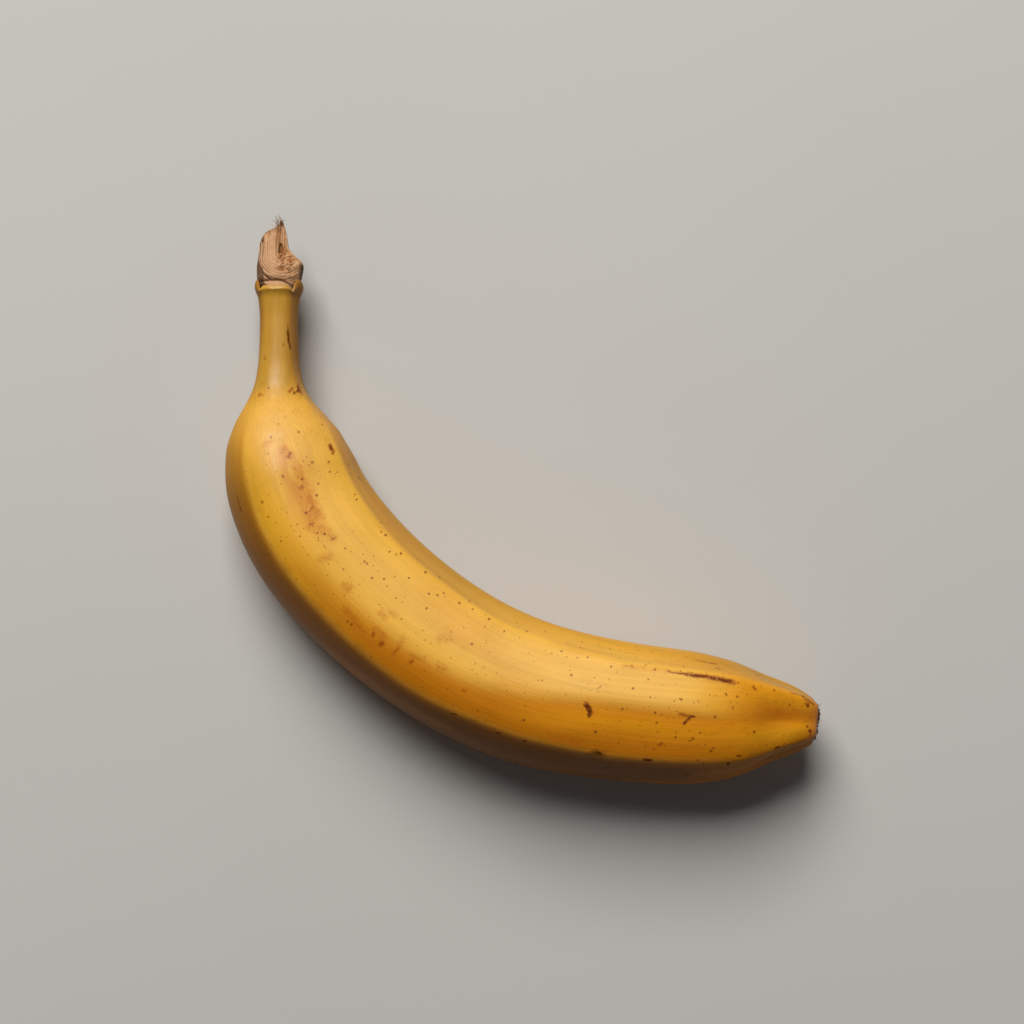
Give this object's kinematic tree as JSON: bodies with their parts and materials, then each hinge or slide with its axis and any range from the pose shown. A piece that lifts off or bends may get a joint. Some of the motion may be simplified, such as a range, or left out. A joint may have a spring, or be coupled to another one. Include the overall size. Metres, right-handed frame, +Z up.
{
  "type": "banana",
  "caption": "Whole ripe banana lying on its side: curved, softly ridged yellow peel, straight stem ending in a torn fibrous stalk, small dark blossom end.",
  "frame": {"origin": "bottom centre of the fruit's bounding box, on the surface that it rests on", "axes": "+X along the chord from the torn stalk to the blossom end, +Y towards the hollow side of the curve, +Z up"},
  "size_m": [0.1804, 0.0716, 0.0335],
  "materials": {
    "banana_peel": "ripe yellow peel, satin, with brown freckles and scuffs",
    "torn_stalk": "torn pale fibres, dry and matte",
    "blossom_end": "dark brown dried flower scar, matte"
  },
  "bodies": {
    "root": {"banana": "banana_peel"}
  },
  "joints": []
}
